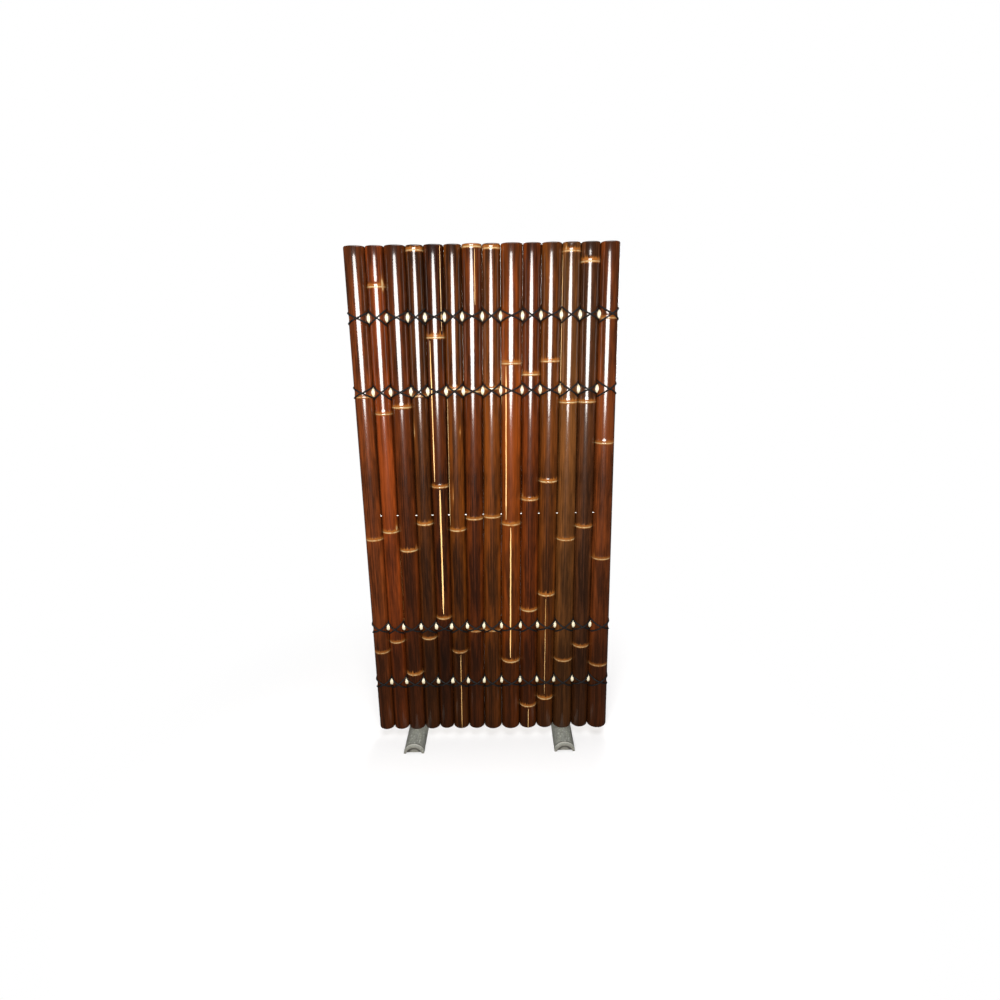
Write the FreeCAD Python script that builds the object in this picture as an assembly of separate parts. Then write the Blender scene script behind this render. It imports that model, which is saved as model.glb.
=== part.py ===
"""Bamboo fence panel: round culms threaded on four rods, laced with cord and pegged to two split feet.

The floor is z = 0, the front of the panel faces -Y and the culms stand side by side along X.
"""
import FreeCAD, Part
import math
import os
from collections import namedtuple
from functools import partial
from FreeCAD import Vector

# Culms
culm_length = 1800.0
culm_wall = 7.0
ridge_height = 1.0
ridge_rise = 10.0
ridge_fall = 8.0
diaphragm = 6.0

# Bottom diameter, top diameter and the heights of the node rings above the culm's foot, from left to right
Culm = namedtuple("Culm", "bottom top nodes")
culms = [
    Culm(57.0, 68.0, (344.0, 802.0, 1320.0)),
    Culm(57.0, 59.0, (387.0, 830.0, 1260.0, 1677.0)),
    Culm(62.0, 68.0, (249.0, 758.0, 1282.0)),
    Culm(57.0, 56.0, (400.0, 858.0, 1320.0, 1787.0)),
    Culm(53.0, 63.0, (484.0, 997.0, 1513.0)),
    Culm(59.0, 57.0, (341.0, 833.0, 1341.0)),
    Culm(59.0, 65.0, (430.0, 876.0, 1332.0, 1794.0)),
    Culm(67.0, 58.0, (432.0, 882.0, 1341.0, 1789.0)),
    Culm(69.0, 70.5, (300.0, 854.0, 1424.0)),
    Culm(65.0, 59.0, (102.0, 512.0, 945.0, 1386.0)),
    Culm(63.0, 65.0, (134.0, 574.0, 1011.0, 1429.0)),
    Culm(71.5, 59.0, (301.0, 792.0, 1290.0, 1776.0)),
    Culm(61.0, 61.0, (358.0, 839.0, 1290.0, 1743.0)),
    Culm(74.5, 61.0, (279.0, 716.0, 1146.0, 1566.0)),
]

# Rods and wire through the culms, how far their ends stay inside the end culms' sides, and how far the
# wire runs in front of the culms' middle
rod_diameter = 35.0
rod_inset = 3.0
low_row_insets = (206.0, 441.0)
high_row_insets = (225.0, 470.0)
wire_diameter = 5.0
wire_inset = 3.0
wire_forward = 10.0
hole_clearance = 0.3

# Cord of the lashings, and its thickness where it is squeezed between two culms
cord_size = 4.4
cord_pinch = 1.8
cord_clearance = 0.3

# Feet and pegs, under these culms counted from the left
foot_culms = {"left": 3, "right": 12}
foot_height = 34.0
foot_radius = 40.0
foot_wall = 9.0
foot_length = 265.0
foot_node_inset = 12.0
peg_height = 130.0
peg_clearance = 0.3
tenon_diameter = 22.0
tenon_depth = 13.0

# Worked out from the sizes above
culm_gap = cord_pinch + 2 * cord_clearance
rod_radius = rod_diameter / 2
wire_radius = wire_diameter / 2
row_heights = (
    low_row_insets[0],
    low_row_insets[1],
    culm_length - high_row_insets[1],
    culm_length - high_row_insets[0],
)
wire_height = (row_heights[1] + row_heights[2]) / 2
cord_levels = (rod_radius + cord_size, rod_radius + 3 * cord_size)
trim = 2 * (ridge_rise + ridge_fall)
up = Vector(0, 0, 1)
along_panel = Vector(1, 0, 0)


def row_of_centres(diameters):
    """Places round things side by side along X with the same gap between neighbours, centred on x = 0."""
    width = sum(diameters) + culm_gap * (len(diameters) - 1)
    centres = []
    edge = -width / 2
    for diameter in diameters:
        centres.append(edge + diameter / 2)
        edge += diameter + culm_gap
    return centres


bottom_centres = row_of_centres([culm.bottom for culm in culms])
top_centres = row_of_centres([culm.top for culm in culms])


def centre_x(index, height):
    """The x of a culm's axis at a height above its foot: the culms lean a little, because they taper."""
    share = height / culm_length
    return bottom_centres[index] + (top_centres[index] - bottom_centres[index]) * share


def radius_at(culm, height):
    """The radius of a tapering culm between its rings, at a height above its foot."""
    return (culm.bottom + (culm.top - culm.bottom) * height / culm_length) / 2


def bore_between(culm, low, high):
    """The radius of the hollow of a culm between two heights."""
    return min(radius_at(culm, low), radius_at(culm, high)) - culm_wall


def reach_near(culm, height, spread):
    """The largest radius of a culm within spread of a height, rings included."""
    reach = max(radius_at(culm, height - spread), radius_at(culm, height + spread))
    ringed = any(abs(node - height) < spread + ridge_rise for node in culm.nodes)
    return reach + ridge_height if ringed else reach


def ringed_bar(low, high, nodes, radius):
    """A solid of revolution on Z with a raised ring at each node. radius gives its radius at a height."""
    outline = [Vector(0, 0, low), Vector(radius(low), 0, low)]
    for node in nodes:
        outline.append(Vector(radius(node - ridge_rise), 0, node - ridge_rise))
        outline.append(Vector(radius(node) + ridge_height, 0, node))
        outline.append(Vector(radius(node + ridge_fall), 0, node + ridge_fall))
    outline.append(Vector(radius(high), 0, high))
    outline.append(Vector(0, 0, high))
    outline.append(outline[0])
    return Part.Face(Part.makePolygon(outline)).revolve(Vector(), up, 360)


def stand(solid, index, length):
    """Leans a solid on Z as its culm leans, moves it to the culm's foot and cuts it level at both ends."""
    shift = top_centres[index] - bottom_centres[index]
    solid.rotate(Vector(), Vector(0, 1, 0), math.degrees(math.atan2(shift, culm_length)))
    solid.translate(Vector(bottom_centres[index], 0, foot_height))
    room = 2 * (max(culms[index].bottom, culms[index].top) + abs(shift))
    corner = Vector(bottom_centres[index] - room / 2, -room / 2, foot_height)
    return solid.common(Part.makeBox(room, room, length, corner))


def culm_solid(index):
    """One culm: ringed outside, hollow at its open ends up to a diaphragm, and drilled for rods and wire."""
    culm = culms[index]
    solid = ringed_bar(-trim, culm_length + trim, culm.nodes, partial(radius_at, culm))
    first_node = culm.nodes[0]
    last_node = culm.nodes[-1]
    solid = solid.cut(Part.makeCylinder(bore_between(culm, 0, first_node), first_node - diaphragm / 2 + trim,
                                        Vector(0, 0, -trim)))
    top_floor = last_node + diaphragm / 2
    if top_floor < culm_length:
        solid = solid.cut(Part.makeCylinder(bore_between(culm, last_node, culm_length),
                                            culm_length + trim - top_floor, Vector(0, 0, top_floor)))
    solid = stand(solid, index, culm_length)
    for height in row_heights:
        solid = solid.cut(cross_bar(index, height, rod_radius + hole_clearance, 0))
    return solid.cut(cross_bar(index, wire_height, wire_radius + hole_clearance, wire_forward))


def cross_bar(index, height, radius, forward):
    """The bar that a drill along X takes out of one culm."""
    reach = reach_near(culms[index], height, rod_radius) + culm_gap / 2
    start = Vector(centre_x(index, height) - reach, -forward, foot_height + height)
    return Part.makeCylinder(radius, 2 * reach, start, along_panel)


def through_bar(height, radius, inset, forward):
    """A rod or wire through the whole row of culms, cut off just inside the sides of the end culms."""
    last = len(culms) - 1
    left = centre_x(0, height) - radius_at(culms[0], height) + inset
    right = centre_x(last, height) + radius_at(culms[last], height) - inset
    start = Vector(left, -forward, foot_height + height)
    return Part.makeCylinder(radius, right - left, start, along_panel)


def gap_x(gap, height):
    """The middle of a gap at a height. The first and the last gap are outside the end culms."""
    side = culm_gap / 2
    if gap == 0:
        return centre_x(0, height) - radius_at(culms[0], height) - side
    if gap == len(culms):
        return centre_x(gap - 1, height) + radius_at(culms[gap - 1], height) + side
    left_face = centre_x(gap - 1, height) + radius_at(culms[gap - 1], height)
    right_face = centre_x(gap, height) - radius_at(culms[gap], height)
    return (left_face + right_face) / 2


def half_turn_outline(left, right, near, lifted):
    """Half of an eight-sided turn round a culm on x = 0, in plan, as its front points from left to right.

    left and right are the x of its sides in the gaps, near its distance from the axis at the slanted faces
    and lifted its distance at the front face, where it may pass over another turn.
    """
    diagonal = near * math.sqrt(2)
    return [
        (left, 0.0),
        (left, -(diagonal + left)),
        (lifted - diagonal, -lifted),
        (diagonal - lifted, -lifted),
        (right, -(diagonal - right)),
        (right, 0.0),
    ]


def half_turn(index, height, facing, left_level, right_level, lift):
    """A plain strand of cord over the front or the back of one culm, slanting from one gap to the next."""
    x = centre_x(index, height)
    left = gap_x(index, height + left_level) - x
    right = gap_x(index + 1, height + right_level) - x
    near = reach_near(culms[index], height, max(cord_levels)) + cord_clearance
    half = cord_pinch / 2
    inner = half_turn_outline(left + half, right - half, near, near + lift)
    outer = half_turn_outline(left - half, right + half, near + cord_size, near + cord_size + lift)
    slope = (right_level - left_level) / (right - left)
    points = []
    for px, py in inner + outer[::-1]:
        pz = foot_height + height + left_level + slope * (px - left) - cord_size / 2
        points.append(Vector(x + px, py * facing, pz))
    return Part.Face(Part.makePolygon(points + points[:1])).extrude(up * cord_size)


def lashing(height):
    """Two endless cords laced along a rod: each crosses every culm in front and behind."""
    over = cord_size + cord_clearance
    last_gap = len(culms)
    cords = []
    for start_side in (1, -1):
        strands = []
        for index in range(len(culms)):
            for facing in (1, -1):
                inner_turn = (index % 2 == 0) == (facing == 1)
                level = cord_levels[0] if inner_turn else cord_levels[1]
                rising = start_side if index % 2 == 0 else -start_side
                left_level = cord_levels[0] if index == 0 else level
                right_level = cord_levels[0] if index + 1 == last_gap else level
                lift = over if start_side * facing > 0 else 0.0
                ends = (-rising * left_level, rising * right_level)
                strands.append(half_turn(index, height, facing, *ends, lift))
        cords.append(strands[0].multiFuse(strands[1:]))
    return Part.makeCompound([solid for cord in cords for solid in cord.Solids])


def foot(index):
    """A length of split culm, flat side down, ringed and walled near each end, with a hole for the peg."""
    half = foot_length / 2
    node = half - foot_node_inset
    solid = ringed_bar(-half, half, (-node, node), lambda height: foot_radius)
    bore = foot_radius - foot_wall
    ends = (-half, -node, node, half)
    for low, high in zip(ends, ends[1:]):
        start = low if low == -half else low + diaphragm / 2
        stop = high if high == half else high - diaphragm / 2
        solid = solid.cut(Part.makeCylinder(bore, stop - start, Vector(0, 0, start)))
    solid.rotate(Vector(), along_panel, 90)
    solid.translate(Vector(bottom_centres[index], 0, foot_height - foot_radius))
    room = 2 * (foot_radius + ridge_height)
    corner = Vector(bottom_centres[index] - room / 2, -half, 0)
    solid = solid.common(Part.makeBox(room, foot_length, room, corner))
    hole_radius = tenon_diameter / 2 + peg_clearance
    hole = Part.makeCylinder(hole_radius, foot_height, Vector(bottom_centres[index], 0, 0))
    return solid.cut(hole)


def peg(index):
    """The peg that stands on a foot inside a culm's hollow end, with a tenon through the foot's crown."""
    culm = culms[index]
    radius = bore_between(culm, 0, culm.nodes[0]) - peg_clearance
    body = Part.makeCylinder(radius, peg_height + 2 * trim, Vector(0, 0, -trim))
    body = stand(body, index, peg_height)
    tenon = Part.makeCylinder(tenon_diameter / 2, tenon_depth,
                              Vector(bottom_centres[index], 0, foot_height - tenon_depth))
    return body.fuse(tenon).removeSplitter()


def single(shape):
    """The one solid of a shape that was cut or joined."""
    return shape.Solids[0] if len(shape.Solids) == 1 else shape


def main():
    parts = {}
    for index in range(len(culms)):
        parts["culm_%02d" % (index + 1)] = culm_solid(index)
    for row, height in enumerate(row_heights, start=1):
        parts["rod_%d" % row] = through_bar(height, rod_radius, rod_inset, 0)
        parts["lashing_%d" % row] = lashing(height)
    parts["middle_wire"] = through_bar(wire_height, wire_radius, wire_inset, wire_forward)
    for side, number in foot_culms.items():
        parts["%s_foot" % side] = foot(number - 1)
        parts["%s_peg" % side] = peg(number - 1)
    os.makedirs("parts", exist_ok=True)
    for name, shape in parts.items():
        single(shape).exportStep("parts/%s.step" % name)


main()
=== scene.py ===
"""Bamboo fence panel, dressed over its CAD frame: culms, rods, twisted lacing, wire and split feet.

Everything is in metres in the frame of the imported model: the floor is z = 0 and the front faces -Y.
"""

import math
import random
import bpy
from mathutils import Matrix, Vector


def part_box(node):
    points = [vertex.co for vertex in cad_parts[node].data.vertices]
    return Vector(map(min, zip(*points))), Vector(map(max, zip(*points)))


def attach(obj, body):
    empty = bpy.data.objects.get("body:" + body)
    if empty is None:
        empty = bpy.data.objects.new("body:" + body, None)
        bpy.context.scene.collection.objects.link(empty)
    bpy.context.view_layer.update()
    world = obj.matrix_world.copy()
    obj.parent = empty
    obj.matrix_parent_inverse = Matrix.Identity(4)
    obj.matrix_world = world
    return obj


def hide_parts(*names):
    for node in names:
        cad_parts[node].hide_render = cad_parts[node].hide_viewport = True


bl_info = {
    "name": "Bamboo Fence Panel",
    "version": (1, 0, 0),
    "blender": (4, 5, 0),
    "location": "View3D > Sidebar > Fence",
    "description": "Builds a laced panel of lacquered bamboo culms on split bamboo feet",
    "category": "Add Mesh",
}

from collections import namedtuple

import bpy
import numpy as np
from bpy.props import FloatProperty, FloatVectorProperty, IntProperty, PointerProperty
from mathutils import Matrix, Vector

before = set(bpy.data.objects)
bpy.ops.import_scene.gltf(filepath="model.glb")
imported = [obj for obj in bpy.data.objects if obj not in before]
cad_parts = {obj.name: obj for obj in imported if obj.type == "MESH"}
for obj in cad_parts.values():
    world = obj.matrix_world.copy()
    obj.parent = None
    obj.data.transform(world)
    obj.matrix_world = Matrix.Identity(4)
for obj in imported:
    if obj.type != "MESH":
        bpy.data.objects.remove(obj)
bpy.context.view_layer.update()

IMAGE_SIDE = 1000
SENSOR_WIDTH = 36.0
WHITE = (1.0, 1.0, 1.0, 1.0)
RODS = ("rod_1", "rod_2", "rod_3", "rod_4")

# What a line of the input mesh stands for in the geometry trees
SPINE, SPLIT, DRILL, BORE = 0, 1, 2, 3

# Heights round a node ring where the surface needs a point, from below to above
RING_STEPS = (-0.030, -0.022, -0.016, -0.012, -0.0095, -0.0078, -0.0064, -0.0053, -0.0044, -0.0036,
              -0.0028, -0.0019, -0.0009, 0.0002, 0.0014, 0.0026, 0.0038, 0.005, 0.0064, 0.008,
              0.0105, 0.014, 0.019, 0.027)
RING_REACH = 0.030
PLAIN_STEP = 0.034

# Middle and spread of a node's rounded ridge and of the sheath scar, measured from the ring's height
RIDGE_MIDDLE, RIDGE_SPREAD = 0.0035, 0.0050
SCAR_MIDDLE, SCAR_SPREAD = -0.0044, 0.0018

# Distances from a sawn end where its rounded edge needs a point, as shares of the rounding
EDGE_SHARES = (0.0, 0.05, 0.18, 0.38, 0.66, 1.0)
BAR_EDGE_SHARES = (0.0, 0.3, 0.6, 0.85, 1.0)

# Cutters: points round them, how far a bore runs past a sawn end, and half the length of a rod's drill
CUTTER_SIDES, SPLIT_SIDES = 56, 10
PAST_END = 0.02
DRILL_REACH = 0.06

# Drying splits: length of a step, how far it wanders in radians, and how much its width varies
SPLIT_STEP = 0.03
SPLIT_WANDER = 0.012
SPLIT_WIDTHS = (0.9, 1.1)

# The turn of a surface, in radians, past which an edge is shaded sharp
SHARP_TURN = 0.75

FOOT_ROUNDING = 0.0016
FOOT_STEPS = 40
BAR_STEPS = 60
FLOOR_SIDE = 30.0

Split = namedtuple("Split", "low high angle width")
Patch = namedtuple("Patch", "height angle tall wide strength")
Culm = namedtuple("Culm", "bottom top nodes looks deep warm splits scars glows",
                  defaults=((), (), ()))
Point = namedtuple("Point", "place reach from_ring ring_look", defaults=(1.0, 0.0))
Light = namedtuple("Light", "place target width height colour")

LIGHTS = {
    "front": Light((-0.20, -2.6, 1.57), (-0.20, 0.0, 1.57), 2.0, 1.22, (1.0, 0.98, 0.95)),
    "back": Light((0.5, 2.6, 1.7), (0.0, 0.0, 1.0), 2.0, 1.4, (1.0, 0.98, 0.95)),
    "top": Light((0.4, -0.6, 4.2), (0.0, 0.2, 0.0), 3.5, 3.5, (1.0, 1.0, 1.0)),
}


def tone(red, green, blue):
    """A colour given in display values from 0 to 255, as linear light."""
    def linear(value):
        share = value / 255
        return share / 12.92 if share <= 0.04045 else ((share + 0.055) / 1.055) ** 2.4
    return (linear(red), linear(green), linear(blue), 1.0)


# The culms from left to right: diameters at the bottom and the top, heights of the rings above the
# foot and how much each ring is worn, the deep and the warm tone of the lacquer, drying splits,
# branch scars and patches of painted sheen. An angle is measured from the front to +X.
culms = [
    Culm(0.0570, 0.0680, (0.344, 0.802, 1.320), (0.30, 0.50, 0.35),
         tone(76, 38, 16), tone(164, 80, 32),
         glows=(Patch(0.62, 0, 0.26, 45, 0.5),)),
    Culm(0.0570, 0.0590, (0.387, 0.830, 1.260, 1.677), (0.35, 0.50, 0.30, 0.60),
         tone(86, 38, 13), tone(180, 82, 29),
         scars=(Patch(1.680, 48, 0.015, 14, 1.0), Patch(1.668, 52, 0.014, 9, 0.9),
                Patch(0.838, 55, 0.014, 13, 0.9)),
         glows=(Patch(1.02, 10, 0.14, 60, 1.0), Patch(0.60, 0, 0.10, 50, 0.5),
                Patch(1.60, 20, 0.10, 50, 0.4))),
    Culm(0.0620, 0.0680, (0.249, 0.758, 1.282), (0.60, 0.60, 0.50),
         tone(68, 32, 11), tone(134, 63, 22),
         splits=(Split(0.45, 0.742, -74, 0.0012),),
         scars=(Patch(0.762, 62, 0.010, 10, 0.7),)),
    Culm(0.0570, 0.0560, (0.400, 0.858, 1.320, 1.787), (0.40, 0.70, 0.20, 0.50),
         tone(58, 30, 12), tone(124, 66, 24),
         scars=(Patch(1.190, -48, 0.030, 8, 1.0),)),
    Culm(0.0530, 0.0630, (0.484, 0.997, 1.513), (0.45, 0.50, 1.00),
         tone(40, 18, 8), tone(116, 54, 16),
         splits=(Split(1.530, 1.800, 45, 0.0018), Split(1.012, 1.498, -33, 0.0040),
                 Split(0.500, 0.984, 2, 0.0056)),
         glows=(Patch(1.25, 0, 0.20, 50, 0.5), Patch(0.54, 0, 0.05, 50, 0.6))),
    Culm(0.0590, 0.0570, (0.341, 0.833, 1.341), (0.25, 0.50, 0.60),
         tone(56, 28, 10), tone(146, 76, 20),
         splits=(Split(0.847, 1.326, -60, 0.0018), Split(0.000, 0.328, 6, 0.0019)),
         scars=(Patch(1.190, 32, 0.016, 8, 0.8), Patch(0.960, -25, 0.024, 8, 0.9)),
         glows=(Patch(0.95, 35, 0.18, 30, 0.7),)),
    Culm(0.0590, 0.0650, (0.430, 0.876, 1.332, 1.794), (0.30, 0.40, 0.50, 0.50),
         tone(62, 28, 10), tone(142, 66, 18),
         splits=(Split(1.610, 1.782, 18, 0.0018),),
         glows=(Patch(1.70, 0, 0.10, 60, 0.5),)),
    Culm(0.0670, 0.0580, (0.432, 0.882, 1.341, 1.789), (0.20, 0.40, 0.40, 0.50),
         tone(78, 41, 13), tone(166, 86, 26),
         glows=(Patch(1.05, -20, 0.25, 20, 0.6),)),
    Culm(0.0690, 0.0705, (0.300, 0.854, 1.424), (0.60, 0.50, 0.60),
         tone(88, 42, 11), tone(172, 81, 21),
         splits=(Split(1.280, 1.410, -66, 0.0016), Split(0.870, 1.410, -31, 0.0038),
                 Split(0.316, 0.840, -3, 0.0046)),
         glows=(Patch(1.12, 10, 0.24, 50, 0.9), Patch(0.62, 20, 0.14, 50, 0.2))),
    Culm(0.0650, 0.0590, (0.102, 0.512, 0.945, 1.386), (0.50, 0.60, 0.60, 0.60),
         tone(70, 31, 10), tone(152, 70, 20),
         splits=(Split(0.000, 0.088, 0, 0.0016),),
         scars=(Patch(0.953, -58, 0.012, 11, 0.7),),
         glows=(Patch(0.64, 0, 0.12, 50, 0.5),)),
    Culm(0.0630, 0.0650, (0.134, 0.574, 1.011, 1.429), (0.70, 0.80, 0.70, 0.60),
         tone(78, 40, 13), tone(150, 80, 26),
         splits=(Split(0.154, 0.556, -8, 0.0012),),
         glows=(Patch(1.70, -30, 0.12, 25, 0.6), Patch(0.34, -10, 0.12, 30, 0.4))),
    Culm(0.0715, 0.0590, (0.301, 0.792, 1.290, 1.776), (0.30, 0.40, 0.60, 0.50),
         tone(86, 51, 22), tone(154, 94, 44),
         splits=(Split(1.306, 1.762, -68, 0.0020),),
         scars=(Patch(1.780, -40, 0.010, 9, 0.8),),
         glows=(Patch(1.10, 0, 0.25, 60, 0.5),)),
    Culm(0.0610, 0.0610, (0.358, 0.839, 1.290, 1.743), (0.40, 0.50, 0.40, 0.70),
         tone(60, 33, 16), tone(122, 70, 36)),
    Culm(0.0745, 0.0610, (0.279, 0.716, 1.146, 1.566), (0.20, 0.20, 0.30, 0.30),
         tone(80, 39, 15), tone(152, 75, 30),
         scars=(Patch(0.720, -55, 0.010, 10, 0.6),),
         glows=(Patch(1.23, -10, 0.10, 50, 1.0), Patch(0.80, 0, 0.10, 40, 0.4))),
]


class FenceCulmSettings(bpy.types.PropertyGroup):
    """Sizes and finish of the culms."""
    length: FloatProperty(name="Length", description="Length of each culm", default=1.8,
                          unit="LENGTH")
    stand: FloatProperty(name="Foot Height", default=0.034, unit="LENGTH",
                         description="Height of the culms' lower ends above the floor")
    gap: FloatProperty(name="Gap", description="Room between neighbouring culms", default=0.0024,
                       unit="LENGTH")
    wall: FloatProperty(name="Wall", description="Thickness of the culm wall", default=0.007,
                        unit="LENGTH")
    diaphragm: FloatProperty(name="Diaphragm", description="Thickness of the wall across a node",
                             default=0.006, unit="LENGTH")
    ridge: FloatProperty(name="Ridge", description="Height of the rounded ridge of a node",
                         default=0.0008, unit="LENGTH")
    scar_line: FloatProperty(name="Sheath Scar", default=0.0006, unit="LENGTH",
                             description="Height of the sharp ring below the ridge")
    swell: FloatProperty(name="Swell", default=0.00118, unit="LENGTH",
                         description="How much fuller the culm is than its drawn size")
    wobble: FloatProperty(name="Wobble", description="Unevenness of the culm's surface",
                          default=0.00012, unit="LENGTH")
    rounding: FloatProperty(name="Rounding", default=0.005, unit="LENGTH",
                            description="Radius of the rounded edge of a sawn end")
    depth: FloatProperty(name="Lacquer Depth", default=0.28, subtype="FACTOR", min=0.0, max=1.0,
                         description="Share of its tone that the lacquer gives back")
    sides: IntProperty(name="Sides", description="Points round each culm", default=96, min=24)
    bare_colour: FloatVectorProperty(name="Bare Bamboo", size=4, subtype="COLOR",
                                     description="Colour of splits and cut ends",
                                     default=tone(226, 189, 132))
    ring_colour: FloatVectorProperty(name="Ring", size=4, subtype="COLOR",
                                     description="Colour of the rings, where the lacquer is worn",
                                     default=tone(162, 140, 100))


class FenceRodSettings(bpy.types.PropertyGroup):
    """Sizes and finish of the rods and the wire through the culms."""
    diameter: FloatProperty(name="Rod", description="Diameter of a rod", default=0.035,
                            unit="LENGTH")
    wire: FloatProperty(name="Wire", description="Diameter of the wire", default=0.005,
                        unit="LENGTH")
    clearance: FloatProperty(name="Clearance", description="Room round a rod in its hole",
                             default=0.0003, unit="LENGTH")
    colour: FloatVectorProperty(name="Rod Colour", description="Colour of the peeled rods",
                                size=4, subtype="COLOR", default=tone(200, 194, 170))


class FenceCordSettings(bpy.types.PropertyGroup):
    """Sizes and finish of the lacing."""
    size: FloatProperty(name="Cord", description="Thickness of the cord", default=0.0044,
                        unit="LENGTH")
    full: FloatProperty(name="Full", default=0.0062, unit="LENGTH",
                        description="Thickness of the cord where it lies loose on a culm")
    pinch: FloatProperty(name="Pinch", description="Thickness of the cord between two culms",
                         default=0.0018, unit="LENGTH")
    pitch: FloatProperty(name="Twist", description="Length of one turn of the cord's strands",
                         default=0.015, unit="LENGTH")
    step: FloatProperty(name="Step", description="Length of one ring of the cord's mesh",
                        default=0.0014, unit="LENGTH")
    colour: FloatVectorProperty(name="Cord Colour", description="Colour of the cord", size=4,
                                subtype="COLOR", default=tone(10, 10, 11))


class FenceFootSettings(bpy.types.PropertyGroup):
    """Sizes and finish of the feet."""
    radius: FloatProperty(name="Radius", description="Radius of the split culm", default=0.040,
                          unit="LENGTH")
    height: FloatProperty(name="Height", description="Height of a foot's crown", default=0.034,
                          unit="LENGTH")
    wall: FloatProperty(name="Wall", description="Thickness of the split culm", default=0.009,
                        unit="LENGTH")
    length: FloatProperty(name="Length", description="Length of a foot", default=0.265,
                          unit="LENGTH")
    node_inset: FloatProperty(name="Node Inset", default=0.012, unit="LENGTH",
                              description="Distance of a foot's rings from its ends")
    colour: FloatVectorProperty(name="Foot Colour", description="Colour of the weathered bamboo",
                                size=4, subtype="COLOR", default=tone(114, 117, 111))


class FenceStageSettings(bpy.types.PropertyGroup):
    """Floor, light and camera."""
    floor_colour: FloatVectorProperty(name="Floor", description="Colour of the floor", size=4,
                                      subtype="COLOR", default=(0.64, 0.64, 0.65, 1.0))
    front_power: FloatProperty(name="Front Light", default=170.0, unit="POWER",
                               description="Power of the wide light behind the camera")
    back_power: FloatProperty(name="Back Light", default=70.0, unit="POWER",
                              description="Power of the soft light behind the panel")
    top_power: FloatProperty(name="Top Light", description="Power of the light overhead",
                             default=105.0, unit="POWER")
    fill: FloatProperty(name="Fill", description="Strength of the light from all round",
                        default=0.35)
    focal_pixels: FloatProperty(name="Focal Length", default=600.0,
                                description="Focal length in pixels of the square picture")
    camera_place: FloatVectorProperty(name="Camera", description="Where the camera stands",
                                      size=3, subtype="TRANSLATION", unit="LENGTH",
                                      default=(0.0543, -2.1052, 1.5398))
    pitch: FloatProperty(name="Pitch", description="How far the camera looks down",
                         subtype="ANGLE", default=math.radians(15.163))
    yaw: FloatProperty(name="Yaw", description="How far the camera is turned to the right",
                       subtype="ANGLE", default=math.radians(-0.252))
    roll: FloatProperty(name="Roll", description="How far the camera is tilted",
                        subtype="ANGLE", default=math.radians(-1.047))


# Where the culms stand and how thick they are

def row_of_centres(diameters, gap):
    """Places round things side by side along X with the same gaps, centred on x = 0."""
    edge = -(sum(diameters) + gap * (len(diameters) - 1)) / 2
    centres = []
    for diameter in diameters:
        centres.append(edge + diameter / 2)
        edge += diameter + gap
    return centres


def centre_x(index, height):
    """The x of a culm's axis at a height above its foot."""
    settings = bpy.context.scene.fence_culms
    low = row_of_centres([culm.bottom for culm in culms], settings.gap)[index]
    high = row_of_centres([culm.top for culm in culms], settings.gap)[index]
    return low + (high - low) * height / settings.length


def radius_at(culm, height):
    """The radius of a culm between its rings at a height above its foot."""
    length = bpy.context.scene.fence_culms.length
    return (culm.bottom + (culm.top - culm.bottom) * height / length) / 2


def from_ring(nodes, height):
    """How far a height is above the nearest ring, below zero under it."""
    return min((height - node for node in nodes), key=abs)


def axis_of(node):
    """The depth and the height of the axis of a level rod or wire."""
    low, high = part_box(node)
    return (low[1] + high[1]) / 2, (low[2] + high[2]) / 2


# Nodes that geometry trees and materials share

def feed(tree, node, inputs):
    """Sets inputs by name or number, each to a value or to another node's output."""
    for name, value in inputs.items():
        if isinstance(value, bpy.types.NodeSocket):
            tree.links.new(value, node.inputs[name])
        else:
            node.inputs[name].default_value = value


def add_node(tree, kind, inputs=None, **settings):
    """Adds a node with its settings and inputs."""
    node = tree.nodes.new(kind)
    for name, value in settings.items():
        setattr(node, name, value)
    feed(tree, node, inputs or {})
    return node


def result(tree, kind, inputs=None, **settings):
    """The first output of a new node."""
    return add_node(tree, kind, inputs, **settings).outputs[0]


def maths(tree, operation, first, second=0.0, third=0.0):
    """The result of one arithmetic node."""
    inputs = {0: first, 1: second, 2: third}
    return result(tree, "ShaderNodeMath", inputs, operation=operation)


def times(tree, first, second):
    """Two numbers multiplied."""
    return maths(tree, "MULTIPLY", first, second)


def away_from(tree, value, middle):
    """How far a value is from a middle, either way."""
    return maths(tree, "ABSOLUTE", maths(tree, "SUBTRACT", value, middle))


def remap(tree, value, low, high, to_low=0.0, to_high=1.0):
    """A value brought from one range to another, softly at both ends."""
    inputs = {"Value": value, "From Min": low, "From Max": high, "To Min": to_low,
              "To Max": to_high}
    return result(tree, "ShaderNodeMapRange", inputs, interpolation_type="SMOOTHSTEP")


def level_part(tree, vector):
    """A vector without its height."""
    inputs = {0: vector, 1: (1.0, 1.0, 0.0)}
    return result(tree, "ShaderNodeVectorMath", inputs, operation="MULTIPLY")


def unit_of(tree, vector):
    """A vector brought to a length of one."""
    return result(tree, "ShaderNodeVectorMath", {0: vector}, operation="NORMALIZE")


def scaled(tree, vector, scale):
    """A vector times a number."""
    inputs = {0: vector, "Scale": scale}
    return result(tree, "ShaderNodeVectorMath", inputs, operation="SCALE")


def length_of(tree, vector):
    """The length of a vector."""
    node = add_node(tree, "ShaderNodeVectorMath", {0: vector}, operation="LENGTH")
    return node.outputs["Value"]


def part_of(tree, vector, axis):
    """One part of a vector."""
    return add_node(tree, "ShaderNodeSeparateXYZ", {0: vector}).outputs[axis]


# Geometry trees

def attribute(tree, name, kind="FLOAT"):
    """A named attribute inside a geometry tree."""
    return result(tree, "GeometryNodeInputNamedAttribute", {"Name": name}, data_type=kind)


def position(tree):
    """Where a point of the geometry lies."""
    return result(tree, "GeometryNodeInputPosition")


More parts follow.
